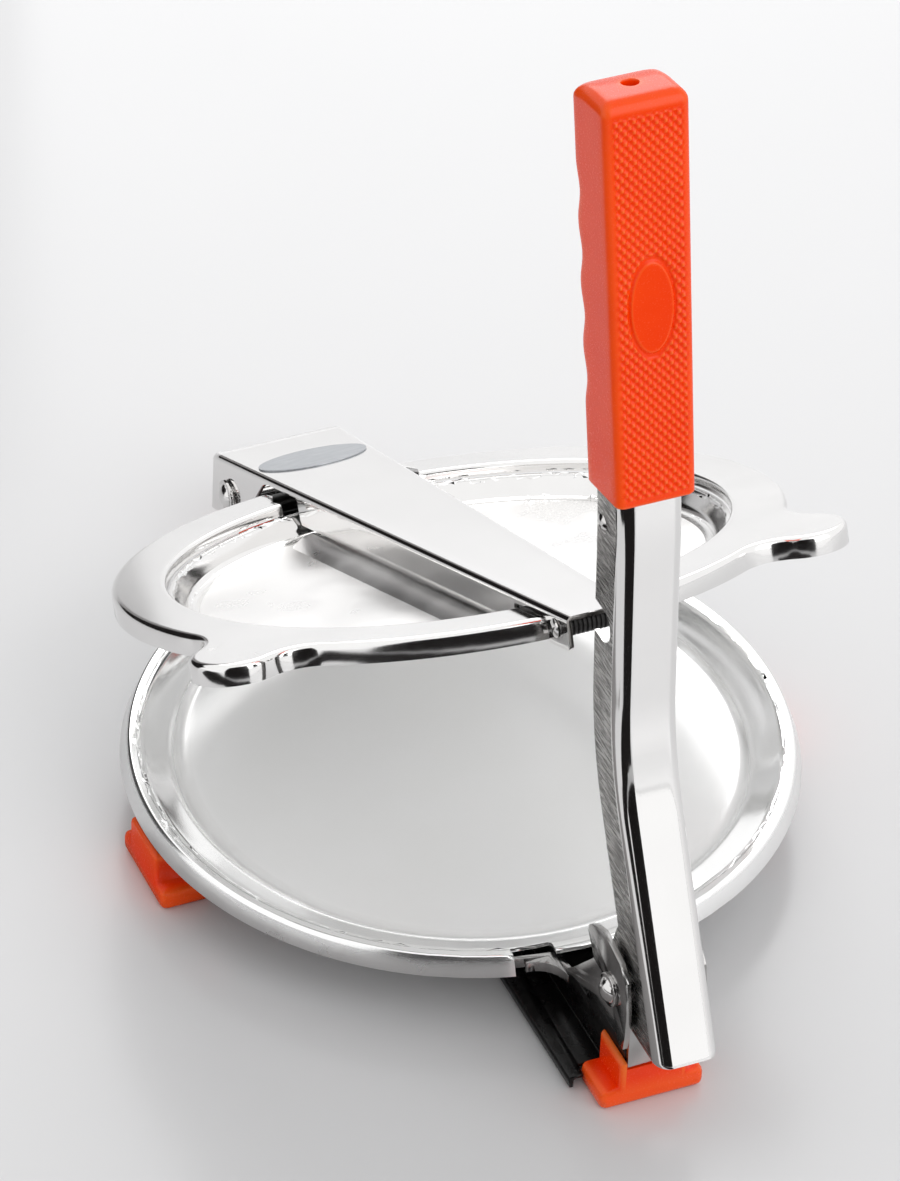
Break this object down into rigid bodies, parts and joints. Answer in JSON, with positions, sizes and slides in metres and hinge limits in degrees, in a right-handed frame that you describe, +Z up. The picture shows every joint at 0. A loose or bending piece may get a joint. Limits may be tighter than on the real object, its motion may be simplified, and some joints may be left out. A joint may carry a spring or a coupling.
{
  "type": "tortilla press",
  "caption": "Hand lever press for flatbread: steel dish on a black under-frame, press plate on a hinged tapered bar, and a channel lever with a moulded grip.",
  "frame": {"origin": "middle of the object's length and width, on the table it stands on", "axes": "+X to the right seen from the lever side, +Y from the lever towards the rear hinge, +Z up"},
  "size_m": [0.1811, 0.2754, 0.2814],
  "materials": {
    "polished_steel": "polished",
    "fastener_steel": "plain bright",
    "black_paint": "semi-gloss black",
    "orange_plastic": "moulded, semi-gloss",
    "grip_plastic": "moulded, semi-gloss, knurled front",
    "black_rubber": "ribbed",
    "badge_film": "blank printed film"
  },
  "bodies": {
    "base": {"base_dish": "polished_steel", "long_frame": "black_paint", "left_arm": "black_paint", "right_arm": "black_paint", "front_foot": "orange_plastic", "rear_foot": "orange_plastic", "left_foot": "orange_plastic", "right_foot": "orange_plastic", "pivot_bracket": "polished_steel", "pivot_rivet": "fastener_steel", "pivot_washers": "fastener_steel", "hinge_bracket": "black_paint", "hinge_pin": "fastener_steel", "hinge_washers": "fastener_steel"},
    "top": {"press_plate": "polished_steel", "carrier_ring": "polished_steel", "ring_spacer": "polished_steel", "bridge_bar": "polished_steel", "badge": "badge_film", "roller_axle": "fastener_steel"},
    "roller": {"roller": "black_rubber"},
    "lever": {"lever_channel": "polished_steel", "pivot_bush": "fastener_steel", "lever_washers": "fastener_steel", "grip": "grip_plastic", "tie_rivet": "fastener_steel", "grip_screw": "fastener_steel"}
  },
  "joints": [
    {"name": "top_hinge", "type": "hinge", "parent": "base", "child": "top", "pos_m": [0, 0.12568, 0.021], "axis": [1, 0, 0], "range_deg": [-65, 24]},
    {"name": "lever_pivot", "type": "hinge", "parent": "base", "child": "lever", "pos_m": [0, -0.11282, 0.0362], "axis": [1, 0, 0], "range_deg": [-3, 12]},
    {"name": "roller_spin", "type": "hinge", "parent": "top", "child": "roller", "pos_m": [0, -0.06607, 0.11621], "axis": [1, 0, 0], "continuous": true}
  ]
}
